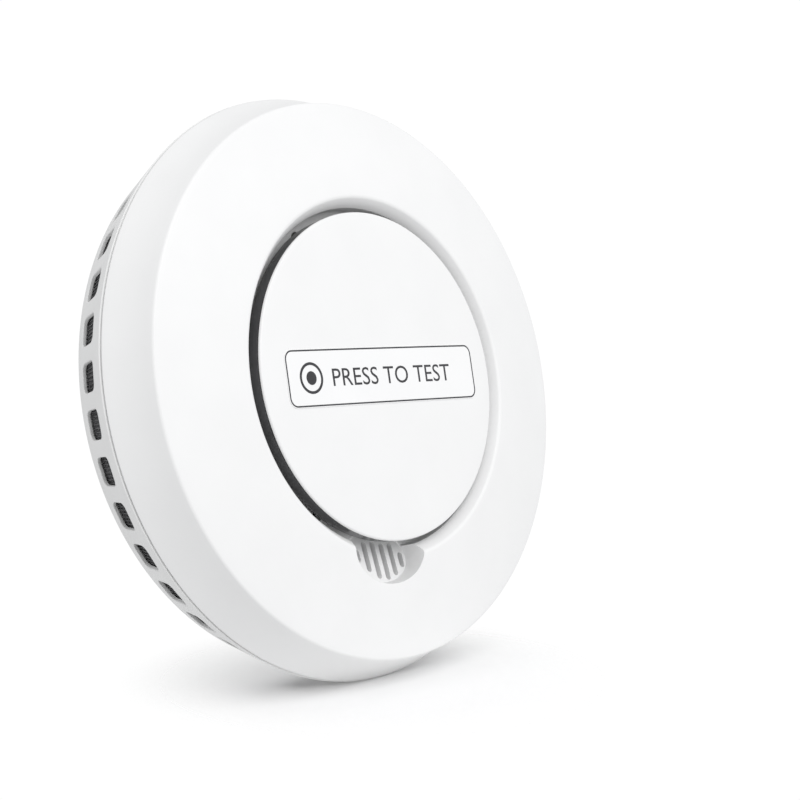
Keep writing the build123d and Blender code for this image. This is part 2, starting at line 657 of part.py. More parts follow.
with BuildPart() as piezo_ceramic:
    with BuildSketch(facing(D_PIEZO - PIEZO_T)):
        with Locations(sounder_centre):
            Circle(CERAMIC_R)
    extrude(amount=PIEZO_T)
write(piezo_ceramic, "piezo_ceramic")

with BuildPart() as sounder_cap:
    with BuildSketch(facing(D_CUP_TOP)):
        with Locations(sounder_centre):
            Circle(SOUNDER_R)
    extrude(amount=SOUNDER_LID_T)
    with BuildSketch(facing(D_PIEZO + PIEZO_T)):
        with Locations(sounder_centre):
            Circle(PIEZO_R - 0.05)
            Circle(PIEZO_R - 1.2, mode=Mode.SUBTRACT)
    extrude(amount=D_CUP_TOP - D_PIEZO)
    with BuildSketch(facing(D_CUP_TOP + 1.1)):
        with Locations((0, NECK_Z)):
            RectangleRounded(NECK_W, NECK_H, 3.0)
    extrude(amount=D_NECK_END - D_CUP_TOP - 1.1)
    with BuildSketch(facing(D_CUP_TOP - 0.4)):
        with Locations((0, NECK_Z)):
            RectangleRounded(NECK_W - 2.4, NECK_H - 2.4, 1.8)
    extrude(amount=10, mode=Mode.SUBTRACT)
write(sounder_cap, "sounder_cap")

with BuildPart() as sounder_seal:
    with BuildSketch(facing(D_NECK_END)):
        with Locations((0, NECK_Z)):
            RectangleRounded(NECK_W, NECK_H, 3.0)
            RectangleRounded(NECK_W - 2.4, NECK_H - 2.4, 1.8, mode=Mode.SUBTRACT)
    extrude(amount=D_WELL_UNDER - D_NECK_END)
write(sounder_seal, "sounder_seal")

# ---- battery: lithium cell in a black cradle with two contact plates ----
CRADLE_END_T = 2.0
CRADLE_GAP = 1.6
CRADLE_HALF = BATTERY_L / 2 + CRADLE_GAP
CRADLE_CORNER_R = 52.6           # the cradle's outer corners follow the round case
with BuildPart() as battery_cradle:
    with BuildSketch(facing(D_FLOOR + 0.1)):
        with Locations((BATTERY_X - 0.4, 0)):
            Rectangle(15.4, 2 * (CRADLE_HALF + CRADLE_END_T))
    extrude(amount=6.0)
    with BuildSketch(Plane.XY.offset(-CRADLE_HALF)):
        with Locations((BATTERY_X, -D_BATTERY)):
            Circle(BATTERY_R + 0.25)
    extrude(amount=2 * CRADLE_HALF, mode=Mode.SUBTRACT)
    for side in (1, -1):
        with BuildSketch(Plane.XY.offset(side * (CRADLE_HALF + CRADLE_END_T / 2) - CRADLE_END_T / 2)):
            with Locations((BATTERY_X, -(D_FLOOR + 7.6))):
                Rectangle(10.0, 15.0)
        extrude(amount=CRADLE_END_T)
    with BuildSketch(facing(0)):
        Circle(CRADLE_CORNER_R)
    extrude(amount=30, mode=Mode.INTERSECT)
write(battery_cradle, "battery_cradle")

NUB_R, NUB_L = 3.2, 1.0
with BuildPart() as battery:
    with BuildSketch(Plane.XY.offset(-BATTERY_L / 2)):
        with Locations((BATTERY_X, -D_BATTERY)):
            Circle(BATTERY_R)
    extrude(amount=BATTERY_L - NUB_L)
    fillet(battery.edges().filter_by(GeomType.CIRCLE), radius=0.5)
    with BuildSketch(Plane.XY.offset(BATTERY_L / 2 - NUB_L - 0.3)):
        with Locations((BATTERY_X, -D_BATTERY)):
            Circle(NUB_R)
    extrude(amount=NUB_L + 0.3)
write(battery, "battery")

for side, contact_name in ((1, "battery_contact_plus"), (-1, "battery_contact_minus")):
    with BuildPart() as contact:
        with BuildSketch(Plane.XY.offset(side * (CRADLE_HALF - 0.2) - 0.2)):
            with Locations((BATTERY_X, -D_BATTERY)):
                RectangleRounded(7.6, 9.0, 0.8)
        extrude(amount=0.4)
        with BuildSketch(Plane.XY.offset(side * (CRADLE_HALF - CRADLE_GAP / 2 - 0.2) - CRADLE_GAP / 2 + 0.2)):
            with Locations((BATTERY_X, -D_BATTERY)):
                RectangleRounded(3.0, 5.0, 0.6)
        extrude(amount=CRADLE_GAP - 0.4)
    write(contact, contact_name)

# ---- blank rating label on the recess floor ----
with BuildPart() as rating_label:
    with BuildSketch(facing(D_RECESS - 0.15)):
        RectangleRounded(46.0, 24.0, 2.0)
    extrude(amount=0.15)
write(rating_label, "rating_label")
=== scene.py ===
from math import cos, hypot, pi, radians, sin, sqrt, tan

import bmesh
import bpy
from mathutils import Matrix, Vector


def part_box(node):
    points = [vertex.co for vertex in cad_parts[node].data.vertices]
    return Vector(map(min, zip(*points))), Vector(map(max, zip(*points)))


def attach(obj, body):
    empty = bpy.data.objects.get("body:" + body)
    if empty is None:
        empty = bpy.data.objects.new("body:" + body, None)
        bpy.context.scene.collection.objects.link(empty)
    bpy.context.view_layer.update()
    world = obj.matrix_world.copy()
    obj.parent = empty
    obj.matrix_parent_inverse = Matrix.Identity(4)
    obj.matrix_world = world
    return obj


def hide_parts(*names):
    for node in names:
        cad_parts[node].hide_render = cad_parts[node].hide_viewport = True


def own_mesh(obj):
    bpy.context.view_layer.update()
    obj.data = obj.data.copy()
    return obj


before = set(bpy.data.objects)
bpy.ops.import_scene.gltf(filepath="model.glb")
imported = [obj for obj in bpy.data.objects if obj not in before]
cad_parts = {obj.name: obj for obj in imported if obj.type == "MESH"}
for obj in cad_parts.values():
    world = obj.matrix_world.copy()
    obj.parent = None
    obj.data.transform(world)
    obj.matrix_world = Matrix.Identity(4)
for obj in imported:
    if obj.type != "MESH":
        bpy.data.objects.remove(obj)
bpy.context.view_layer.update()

# ---- studio -------------------------------------------------------------------------------
# The alarm stands on its rim on a white floor and leans back a little. A lens at its left
# looks across the floor; one large soft lamp stands in front, two weak ones fill the shadows.
MM = 0.001
LENS_MM, SENSOR_MM = 90.0, 36.0
AZIMUTH, ELEVATION, ROLL = radians(-47.81), radians(-7.74), radians(-4.82)
FACE_CENTRE = Vector((0.0, -26.35, 0.0)) * MM
OFF_AXIS = Vector((6.081, -4.478, 0.0)) * MM
DISTANCE = 401.67 * MM
FLOOR_R = 62.0 * MM
FLOOR_TILT = radians(6.0)            # how far the lens looks down on the floor
FLOOR_GAP = 0.15 * MM
TONGUE_L = 1.9                       # the housing's tongue reaches this far past its widest rim

scene = bpy.context.scene
scene.view_settings.view_transform = "Standard"

camera = bpy.data.objects.new("camera", bpy.data.cameras.new("camera"))
scene.collection.objects.link(camera)
camera.data.lens, camera.data.sensor_width = LENS_MM, SENSOR_MM
camera.data.clip_start, camera.data.clip_end = 0.01, 30.0
away = Vector((sin(AZIMUTH) * cos(ELEVATION), -cos(AZIMUTH) * cos(ELEVATION), sin(ELEVATION)))
turn = (-away).to_track_quat("-Z", "Y").to_matrix() @ Matrix.Rotation(ROLL, 3, "Z")
camera.matrix_world = Matrix.Translation(FACE_CENTRE + turn @ OFF_AXIS + away * DISTANCE) @ turn.to_4x4()
scene.camera = camera

world = bpy.data.worlds.new("white_surround")
world.use_nodes = True
scene.world = world
surround = world.node_tree
backdrop = surround.nodes["Background"]
backdrop.inputs["Color"].default_value = (1.0, 1.0, 1.0, 1.0)
backdrop.inputs["Strength"].default_value = 1.02
ambient = surround.nodes.new("ShaderNodeBackground")
ambient.inputs["Color"].default_value = (0.985, 0.99, 1.0, 1.0)
ambient.inputs["Strength"].default_value = 0.76
seen = surround.nodes.new("ShaderNodeLightPath")
which = surround.nodes.new("ShaderNodeMixShader")
surround.links.new(seen.outputs["Is Camera Ray"], which.inputs[0])
surround.links.new(ambient.outputs[0], which.inputs[1])
surround.links.new(backdrop.outputs[0], which.inputs[2])
surround.links.new(which.outputs[0], surround.nodes["World Output"].inputs["Surface"])

for lamp_name, towards, distance, size, watts in (
    ("key_lamp", (-0.30, -0.84, 0.46), 1.0, 0.9, 4.1),
    ("fill_lamp", (0.55, -0.75, 0.20), 1.2, 1.0, 0.6),
    ("rim_lamp", (-0.90, 0.25, 0.35), 1.1, 0.6, 0.05),
):
    lamp = bpy.data.objects.new(lamp_name, bpy.data.lights.new(lamp_name, "AREA"))
    scene.collection.objects.link(lamp)
    lamp.data.shape, lamp.data.size, lamp.data.energy = "DISK", size, watts
    direction = Vector(towards).normalized()
    lamp.matrix_world = (
        Matrix.Translation(direction * distance) @ direction.to_track_quat("Z", "Y").to_matrix().to_4x4()
    )

widest_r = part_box("rear_housing")[1][0]
widest_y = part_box("rear_housing")[0][1] + TONGUE_L * MM
floor_up = (turn @ Vector((0, 1, 0)) * cos(FLOOR_TILT) + away * sin(FLOOR_TILT)).normalized()
lowest = -Vector((floor_up.x, 0, floor_up.z)).normalized() * widest_r + Vector((0, widest_y, 0))
bm = bmesh.new()
bmesh.ops.create_circle(bm, cap_ends=True, segments=96, radius=FLOOR_R)
floor_mesh = bpy.data.meshes.new("floor")
bm.to_mesh(floor_mesh)
bm.free()
floor = bpy.data.objects.new("floor", floor_mesh)
scene.collection.objects.link(floor)
floor.matrix_world = (
    Matrix.Translation(lowest - floor_up * FLOOR_GAP) @ floor_up.to_track_quat("Z", "Y").to_matrix().to_4x4()
)
paper = bpy.data.materials.new("floor_paper")
paper.use_nodes = True
nodes, links = paper.node_tree.nodes, paper.node_tree.links
nodes.clear()
place = nodes.new("ShaderNodeTexCoord")
radius = nodes.new("ShaderNodeVectorMath")
radius.operation = "LENGTH"
fade = nodes.new("ShaderNodeMapRange")
fade.interpolation_type = "SMOOTHSTEP"
fade.inputs["From Min"].default_value = FLOOR_R * 0.25
fade.inputs["From Max"].default_value = FLOOR_R * 0.97
matt = nodes.new("ShaderNodeBsdfDiffuse")
matt.inputs["Color"].default_value = (0.90, 0.90, 0.90, 1.0)
glow = nodes.new("ShaderNodeEmission")
glow.inputs["Strength"].default_value = 0.06
both = nodes.new("ShaderNodeAddShader")
clear = nodes.new("ShaderNodeBsdfTransparent")
blend = nodes.new("ShaderNodeMixShader")
end = nodes.new("ShaderNodeOutputMaterial")
links.new(place.outputs["Object"], radius.inputs[0])
links.new(radius.outputs["Value"], fade.inputs["Value"])
links.new(matt.outputs[0], both.inputs[0])
links.new(glow.outputs[0], both.inputs[1])
links.new(fade.outputs["Result"], blend.inputs[0])
links.new(both.outputs[0], blend.inputs[1])
links.new(clear.outputs[0], blend.inputs[2])
links.new(blend.outputs[0], end.inputs["Surface"])
floor_mesh.materials.append(paper)


# ---- rear housing -------------------------------------------------------------------------
# Injection moulded white ABS: a floor with a recess for the bracket, and a flared rim with
# forty moulded vents. Four screw seats and three bayonet tabs are moulded into its back.
def moulded(name, colour, rough, grain_mm=0.25, bump=0.10, mottle=0.012, metal=0.0, coat=0.0):
    """A finish with cloudy colour, uneven gloss and a fine grain, all from the object's own place."""
    made = bpy.data.materials.new(name)
    made.use_nodes = True
    nodes, links = made.node_tree.nodes, made.node_tree.links
    shader = nodes["Principled BSDF"]
    shader.inputs["Metallic"].default_value = metal
    shader.inputs["Coat Weight"].default_value = coat
    place = nodes.new("ShaderNodeTexCoord")
    cloud = nodes.new("ShaderNodeTexNoise")
    cloud.inputs["Scale"].default_value = 90.0
    cloud.inputs["Detail"].default_value = 5.0
    tint = nodes.new("ShaderNodeValToRGB")
    for stop, shade in zip(tint.color_ramp.elements, (1.0 - 2 * mottle, 1.0 + mottle)):
        stop.color = (*(min(1.0, c * shade) for c in colour), 1.0)
    tint.color_ramp.elements[0].position, tint.color_ramp.elements[1].position = 0.32, 0.68
    haze = nodes.new("ShaderNodeTexNoise")
    haze.inputs["Scale"].default_value = 420.0
    haze.inputs["Detail"].default_value = 3.0
    gloss = nodes.new("ShaderNodeMapRange")
    gloss.inputs["To Min"].default_value = max(0.04, rough - 0.07)
    gloss.inputs["To Max"].default_value = min(1.0, rough + 0.07)
    grain = nodes.new("ShaderNodeTexNoise")
    grain.inputs["Scale"].default_value = 1.0 / (grain_mm * MM)
    grain.inputs["Detail"].default_value = 2.0
    relief = nodes.new("ShaderNodeBump")
    relief.inputs["Strength"].default_value = bump
    relief.inputs["Distance"].default_value = 0.06 * MM
    for texture in (cloud, haze, grain):
        links.new(place.outputs["Object"], texture.inputs["Vector"])
    links.new(cloud.outputs["Fac"], tint.inputs["Fac"])
    links.new(tint.outputs["Color"], shader.inputs["Base Color"])
    links.new(haze.outputs["Fac"], gloss.inputs["Value"])
    links.new(gloss.outputs["Result"], shader.inputs["Roughness"])
    links.new(grain.outputs["Fac"], relief.inputs["Height"])
    links.new(relief.outputs["Normal"], shader.inputs["Normal"])
    return made


def new_piece(name, bm, material, body, slot, *nodes, crease=32.0):
    """Make a mesh into a shaded piece that rides on a body and stands for its CAD nodes."""
    mesh = bpy.data.meshes.new(name)
    bm.to_mesh(mesh)
    bm.free()
    mesh.polygons.foreach_set("use_smooth", [True] * len(mesh.polygons))
    mesh.set_sharp_from_angle(angle=radians(crease))
    mesh.materials.append(material)
    piece = bpy.data.objects.new(name, mesh)
    scene.collection.objects.link(piece)
    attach(piece, body)
    if nodes:
        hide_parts(*nodes)
    return piece


def wire(bm, points, rounds=()):
    """Draw an open or axis-to-axis outline of (radius, distance) points in mm, some corners rounded."""
    face = bm.faces.new([bm.verts.new((r * MM, -d * MM, 0)) for r, d in points])
    for (r, d), fillet in rounds:
        corner = min(face.verts, key=lambda v: hypot(v.co.x - r * MM, v.co.y + d * MM))
        one, other = ((e.other_vert(corner).co - corner.co).normalized() for e in corner.link_edges)
        offset = fillet * MM / tan(one.angle(other) / 2)
        bmesh.ops.bevel(
            bm, geom=[corner], offset=offset, segments=6, profile=0.5, affect="VERTICES", material=-1
        )
        face = [f for f in bm.faces if len(f.verts) > 2][0]
    return face


def lathe(points, rounds=(), steps=240, open_ends=None, bm=None):
    """Spin an outline about the alarm's axis. open_ends drops the edge between its last and first point."""
    shell = bmesh.new()
    face = wire(shell, points, rounds)
    bmesh.ops.delete(shell, geom=[face], context="FACES_ONLY")
    on_axis = [e for e in shell.edges if all(v.co.x < 0.001 * MM for v in e.verts)]
    if open_ends:
        on_axis += [e for e in shell.edges if all(
            min(hypot(v.co.x - r * MM, v.co.y + d * MM) for r, d in open_ends) < 0.001 * MM for v in e.verts)]
    if on_axis:
        bmesh.ops.delete(shell, geom=on_axis, context="EDGES")
    bmesh.ops.spin(
        shell, geom=shell.verts[:] + shell.edges[:], cent=(0, 0, 0), axis=(0, 1, 0), angle=2 * pi,
        steps=steps, use_merge=True,
    )
    if bm is None:
        return shell
    mesh = bpy.data.meshes.new("turned")
    shell.to_mesh(mesh)
    shell.free()
    bm.from_mesh(mesh)
    bpy.data.meshes.remove(mesh)
    return bm


def closed(bm):
    """Weld a shell's doubles and point its faces outwards."""
    bmesh.ops.remove_doubles(bm, verts=bm.verts, dist=0.004 * MM)
    bmesh.ops.recalc_face_normals(bm, faces=bm.faces)
    return bm


def carved(bm, other, operation):
    """Join a shell with another one, or cut the other one out of it."""
    pair = []
    for part in (bm, other):
        mesh = bpy.data.meshes.new("blank")
        part.to_mesh(mesh)
        part.free()
        pair.append(bpy.data.objects.new("blank", mesh))
        scene.collection.objects.link(pair[-1])
    tool = pair[0].modifiers.new("tool", "BOOLEAN")
    tool.object, tool.operation, tool.solver = pair[1], operation, "EXACT"
    bpy.context.view_layer.update()
    result = bmesh.new()
    result.from_mesh(pair[0].evaluated_get(bpy.context.evaluated_depsgraph_get()).data)
    for blank in pair:
        mesh = blank.data
        bpy.data.objects.remove(blank)
        bpy.data.meshes.remove(mesh)
    return result


def rod(bm, r, near, far, radius, angle, segments=32):
    """Add a solid post of radius r between two distances from the wall, at a radius and angle."""
    a = radians(angle)
    middle = Vector((radius * cos(a), -(near + far) / 2, radius * sin(a))) * MM
    bmesh.ops.create_cone(
        bm, cap_ends=True, segments=segments, radius1=r * MM, radius2=r * MM, depth=(far - near) * MM,
        matrix=Matrix.Translation(middle) @ Matrix.Rotation(pi / 2, 4, "X"),
    )


def new_verts(made):
    """The vertices among what an operator has just made."""
    return [v for v in made["geom"] if isinstance(v, bmesh.types.BMVert)]


BACK_R, D_BACK, D_JOINT, WIDEST_R, WALL = 55.25, 3.0, 15.25, 60.0, 2.0
RECESS_R, D_RECESS, D_FLOOR = 44.5, 6.5, 8.3         # the recess takes the bracket
SHELF_IN_R, SHELF_OUT_R, D_SHELF = 46.2, 53.95, 4.8
TONGUE_R, TONGUE_IN_R, D_TONGUE = 57.0, 55.6, D_JOINT + TONGUE_L
TONGUE_ROOT = ((TONGUE_IN_R, D_JOINT - 1.0), (57.22, D_JOINT - 2.0))
VENTS, VENT_W, VENT_H, VENT_CORNER, D_VENT = 40, 5.7, 5.75, 1.3, 8.6
PANEL_BACK, PANEL_FRONT, PANEL_STEPS, VENT_WALL = 5.1, 12.7, 6, 0.8
POST_ANGLES, POST_R = (45, 135, 225, 315), 50.0
HOOK_ANGLES = (30, 150, 270)
BOARD_POST_ANGLES, BOARD_POST_R = (90, 210, 330), 29.0
D_POST_TOP, D_BOARD_POST_TOP = 14.0, 18.4
TAB_SPAN, TAB_IN_R, TAB_OUT_R, D_TAB, D_TAB_TOP = 14, 39.0, 45.3, 3.1, 4.35
NEAR = 1e-4                          # two places this close, in mm, are the same


def rim_r(d):
    """Outer radius of the flared rim at a distance from the wall."""
    return BACK_R + (WIDEST_R - BACK_R) * (d - D_BACK) / (D_JOINT - D_BACK)


# one flat rim panel with its vent, drawn as x = arc angle, y = distance, z = depth into the wall
panel = bmesh.new()
half = pi / VENTS
corners = ((-half, PANEL_BACK), (half, PANEL_BACK), (half, PANEL_FRONT), (-half, PANEL_FRONT))
flat_r = rim_r(D_VENT)
outline = panel.faces.new([panel.verts.new((a * flat_r, d, 0)) for a, d in corners])
bmesh.ops.subdivide_edges(panel, edges=outline.edges[:], cuts=PANEL_STEPS - 1, use_grid_fill=False)
bmesh.ops.delete(panel, geom=panel.faces[:], context="FACES_ONLY")
outer_loop = panel.edges[:]
hole = panel.faces.new([panel.verts.new((x * VENT_W / 2, D_VENT + y * VENT_H / 2, 0))
                        for x, y in ((-1, -1), (1, -1), (1, 1), (-1, 1))])
bmesh.ops.bevel(
    panel, geom=hole.verts[:], offset=VENT_CORNER, segments=5, profile=0.5, affect="VERTICES", material=-1
)
bmesh.ops.delete(panel, geom=panel.faces[:], context="FACES_ONLY")
hole_loop = [e for e in panel.edges if e not in set(outer_loop)]
bmesh.ops.bridge_loops(panel, edges=outer_loop + hole_loop)
skin = panel.faces[:]
walls = bmesh.ops.extrude_face_region(panel, geom=skin)
bmesh.ops.translate(panel, verts=new_verts(walls), vec=(0, 0, -VENT_WALL))


def on_border(edge):
    """Whether both ends of an edge lie on the panel's outer border."""
    return all(
        min(abs(abs(v.co.x) - half * flat_r), abs(v.co.y - PANEL_BACK), abs(v.co.y - PANEL_FRONT)) < NEAR
        for v in edge.verts
    )


ends = [f for f in panel.faces if all(on_border(e) for e in f.edges)]
bmesh.ops.delete(panel, geom=ends, context="FACES_ONLY")
lips = [
    e for e in panel.edges
    if e.is_manifold and not on_border(e) and all(abs(v.co.z) < NEAR for v in e.verts)
    and e.calc_face_angle(0) > 1.0
]
bmesh.ops.bevel(panel, geom=lips, offset=0.28, segments=3, profile=0.5, affect="EDGES", material=-1)
for v in panel.verts:
    angle, r = v.co.x / flat_r, rim_r(v.co.y) + v.co.z
    v.co = Vector((r * cos(angle), -v.co.y, r * sin(angle))) * MM
bmesh.ops.spin(
    panel, geom=panel.verts[:] + panel.edges[:] + panel.faces[:], cent=(0, 0, 0), axis=(0, 1, 0),
    angle=2 * pi * (VENTS - 1) / VENTS, steps=VENTS - 1, use_duplicate=True,
)
back_ends = ((rim_r(PANEL_BACK), PANEL_BACK), (rim_r(PANEL_BACK) - VENT_WALL, PANEL_BACK))
front_ends = ((rim_r(PANEL_FRONT), PANEL_FRONT), (rim_r(PANEL_FRONT) - VENT_WALL, PANEL_FRONT))
lathe(
    ((0, D_RECESS), (RECESS_R, D_RECESS), (RECESS_R, D_BACK), (BACK_R, D_BACK), back_ends[0], back_ends[1],
     (rim_r(PANEL_BACK) - WALL, PANEL_BACK), (SHELF_OUT_R, D_SHELF), (SHELF_IN_R, D_SHELF),
     (SHELF_IN_R, D_FLOOR), (0, D_FLOOR)),
    rounds=(((BACK_R, D_BACK), 1.0), ((RECESS_R, D_BACK), 0.3), ((RECESS_R, D_RECESS), 0.4)),
    steps=VENTS * PANEL_STEPS, open_ends=back_ends, bm=panel,
)
lathe(
    (front_ends[0], (WIDEST_R, D_JOINT), (TONGUE_R, D_JOINT), (TONGUE_R, D_TONGUE), (TONGUE_IN_R, D_TONGUE),
     *TONGUE_ROOT, (rim_r(PANEL_FRONT) - WALL, PANEL_FRONT), front_ends[1]),
    rounds=(((WIDEST_R, D_JOINT), 0.15), ((TONGUE_R, D_TONGUE), 0.3)),
    steps=VENTS * PANEL_STEPS, open_ends=front_ends, bm=panel,
)
housing = closed(panel)
added = bmesh.new()
for post_angle in POST_ANGLES:
    rod(added, 3.2, D_SHELF - 1.0, D_POST_TOP, POST_R, post_angle)
for post_angle in BOARD_POST_ANGLES:
    rod(added, 2.6, D_FLOOR - 0.5, D_BOARD_POST_TOP, BOARD_POST_R, post_angle)
for hook_angle in HOOK_ANGLES:
    tab = bmesh.new()
    tab_face = wire(
        tab, ((TAB_IN_R, D_TAB), (TAB_OUT_R, D_TAB), (TAB_OUT_R, D_TAB_TOP), (TAB_IN_R, D_TAB_TOP))
    )
    tab_start = Matrix.Rotation(-radians(hook_angle - TAB_SPAN / 2), 3, "Y")
    bmesh.ops.rotate(tab, verts=tab.verts, cent=(0, 0, 0), matrix=tab_start)
    bmesh.ops.spin(
        tab, geom=[tab_face], cent=(0, 0, 0), axis=(0, -1, 0), angle=radians(TAB_SPAN), steps=TAB_SPAN
    )
    bmesh.ops.recalc_face_normals(tab, faces=tab.faces)
    tab_mesh = bpy.data.meshes.new("tab")
    tab.to_mesh(tab_mesh)
    tab.free()
    added.from_mesh(tab_mesh)
    bpy.data.meshes.remove(tab_mesh)
housing = carved(housing, closed(added), "UNION")
seats = bmesh.new()
for post_angle in POST_ANGLES:
    rod(seats, 2.9, 2.0, 5.5, POST_R, post_angle)
    rod(seats, 1.7, 5.3, D_POST_TOP + 0.5, POST_R, post_angle)
housing = carved(housing, seats, "DIFFERENCE")
housing_white = moulded("moulded_white_housing", (0.83, 0.83, 0.825), 0.47, grain_mm=0.3, bump=0.14)
new_piece("housing_shell", housing, housing_white, "alarm", "white_plastic", "rear_housing")


# ---- insect screen ------------------------------------------------------------------------
# Welded steel wire mesh, rolled into a cone and laid behind the vents: fine upright wires on
# the outside and nine hoops behind them, near-black to paint the shade inside the vents.
WIRE_R, MESH_PITCH, SCREEN_IN = 0.11, 0.78, VENT_WALL + 0.15
D_SCREEN, D_SCREEN_TOP = 5.4, 12.2
uprights = round(2 * pi * rim_r(D_VENT) / MESH_PITCH)
screen = bmesh.new()
foot = Vector((rim_r(D_SCREEN) - SCREEN_IN - WIRE_R, -D_SCREEN, 0)) * MM
head = Vector((rim_r(D_SCREEN_TOP) - SCREEN_IN - WIRE_R, -D_SCREEN_TOP, 0)) * MM
bmesh.ops.create_cone(
    screen, cap_ends=True, segments=5, radius1=WIRE_R * MM, radius2=WIRE_R * MM, depth=(head - foot).length,
    matrix=Matrix.Translation((head + foot) / 2) @ (head - foot).to_track_quat("Z", "Y").to_matrix().to_4x4(),
)
bmesh.ops.spin(
    screen, geom=screen.verts[:] + screen.edges[:] + screen.faces[:], cent=(0, 0, 0), axis=(0, 1, 0),
    angle=2 * pi * (uprights - 1) / uprights, steps=uprights - 1, use_duplicate=True,
)
hoops = 9
for hoop in range(hoops):
    d = D_SCREEN + 0.25 + (D_SCREEN_TOP - D_SCREEN - 0.5) * hoop / (hoops - 1)
    r = rim_r(d) - SCREEN_IN - 2.6 * WIRE_R
    lathe([(r + WIRE_R * 0.9 * cos(a), d + WIRE_R * 0.9 * sin(a)) for a in (0.3, 1.56, 2.81, 4.07, 5.33)],
          steps=160, bm=screen)
bmesh.ops.recalc_face_normals(screen, faces=screen.faces)
# Painted shade: the wire's near-black colour also stands in for the shade inside the vents.
screen_steel_and_vent_shade = moulded(
    "dark_wire_and_vent_shade", (0.16, 0.16, 0.165), 0.42, grain_mm=0.12, bump=0.2, mottle=0.2, metal=0.7
)
new_piece("vent_screen", screen, screen_steel_and_vent_shade, "alarm", "steel_mesh", "insect_screen", crease=80)


# ---- front cover --------------------------------------------------------------------------
# The white cover: a concave skirt, a shallow domed face and the round button well. Below the
# button a small scoop holds the sounder's six slots. Four bosses behind take the case screws.
def bow(first, middle, last, parts):
    """Points along the circular arc through three points, without its first one."""
    (x1, y1), (x2, y2), (x3, y3) = first, middle, last
    turned = 2 * (x1 * (y2 - y3) + x2 * (y3 - y1) + x3 * (y1 - y2))
    s1, s2, s3 = x1 * x1 + y1 * y1, x2 * x2 + y2 * y2, x3 * x3 + y3 * y3
    centre = Vector(((s1 * (y2 - y3) + s2 * (y3 - y1) + s3 * (y1 - y2)) / turned,
                     (s1 * (x3 - x2) + s2 * (x1 - x3) + s3 * (x2 - x1)) / turned))
    start, stop = Vector(first) - centre, Vector(last) - centre
    sweep = start.angle_signed(stop)
    return [tuple(centre + Matrix.Rotation(-sweep * k / parts, 2) @ start) for k in range(1, parts + 1)]


SKIRT_FOOT, SKIRT_MIDDLE, FACE_EDGE = (59.95, 15.55), (57.55, 21.35), (56.4, 26.35)
FACE_MIDDLE, WELL_RIM = (46.2, 28.4), (36.3, 30.0)
WELL_R, D_WELL_FLOOR, D_WELL_UNDER, GUIDE_R = 34.5, 24.3, 22.5, 18.0
INSIDE = ((36.1, D_WELL_UNDER), (36.1, 26.4), (37.3, 27.6), (54.8, 24.45), (55.5, 21.35), (57.95, 15.55))
cover = lathe(
    [SKIRT_FOOT, *bow(SKIRT_FOOT, SKIRT_MIDDLE, FACE_EDGE, 7), *bow(FACE_EDGE, FACE_MIDDLE, WELL_RIM, 10),
     (WELL_R, 27.5), (WELL_R, D_WELL_FLOOR), (GUIDE_R, D_WELL_FLOOR), (GUIDE_R, D_WELL_UNDER), *INSIDE],
    rounds=((FACE_EDGE, 0.7), (WELL_RIM, 0.9), (SKIRT_FOOT, 0.3), ((WELL_R, D_WELL_FLOOR), 0.4)),
    steps=288,
)
cover = closed(cover)
PAD_W, PAD_IN, PAD_END, D_PAD_TOP = 23.0, 32.0, 45.0, 27.95      # thick pad around the grille
added = bmesh.new()
bmesh.ops.create_cube(added, size=1.0)
pad_size = Vector((PAD_W, D_PAD_TOP - D_WELL_UNDER, PAD_END - PAD_IN)) * MM
pad_middle = Vector((0, -(D_WELL_UNDER + D_PAD_TOP) / 2, -(PAD_IN + PAD_END) / 2)) * MM
bmesh.ops.scale(added, verts=added.verts, vec=pad_size)
bmesh.ops.translate(added, verts=added.verts, vec=pad_middle)
well = bmesh.new()
rod(well, WELL_R + 0.8, 21.0, 29.0, 0, 0, segments=180)
added = carved(added, well, "DIFFERENCE")
for post_angle in POST_ANGLES:
    rod(added, 3.2, D_POST_TOP + 0.3, FACE_EDGE[1] - 0.5, POST_R, post_angle)
cover = carved(cover, closed(added), "UNION")

SCOOP_TILT, SCOOP_HEIGHT = radians(13.0), 7.0
SCOOP_FLOOR, SCOOP_MOUTH = (8.6, 5.3), (10.2, 8.0)
FLOOR_X, MOUTH_X, SCOOP_Y = -0.8, -2.1, -1.5
SLOT_W, SLOT_PITCH, SLOT_X = 1.35, 2.45, 0.3
D_CUT, CUT_L = D_WELL_UNDER - 1.0, 9.0
LAMP_R, LAMPS, LAMP_WINDOW_R = 31.8, 6, 1.2
SLOT_INNER = (34.3, 32.7, 32.7, 33.1, 33.1, 35.0)
SLOT_OUTER = (37.0, 38.9, 40.3, 40.6, 39.7, 38.1)
scoop_frame = Matrix((
    (1, 0, 0, 0),
    (0, sin(SCOOP_TILT), -cos(SCOOP_TILT), -D_WELL_FLOOR * MM),
    (0, cos(SCOOP_TILT), sin(SCOOP_TILT), -WELL_R * MM),
    (0, 0, 0, 1),
))
scoop = bmesh.new()
for height, x, (half_w, half_h) in ((0.0, FLOOR_X, SCOOP_FLOOR), (SCOOP_HEIGHT, MOUTH_X, SCOOP_MOUTH)):
    bmesh.ops.create_circle(
        scoop, cap_ends=True, segments=96, radius=MM,
        matrix=scoop_frame @ Matrix.Translation(Vector((x, SCOOP_Y, height)) * MM)
        @ Matrix.Diagonal((half_w, half_h, 1, 1)),
    )
bmesh.ops.bridge_loops(scoop, edges=[e for e in scoop.edges if e.is_boundary])
cover = carved(cover, closed(scoop), "DIFFERENCE")

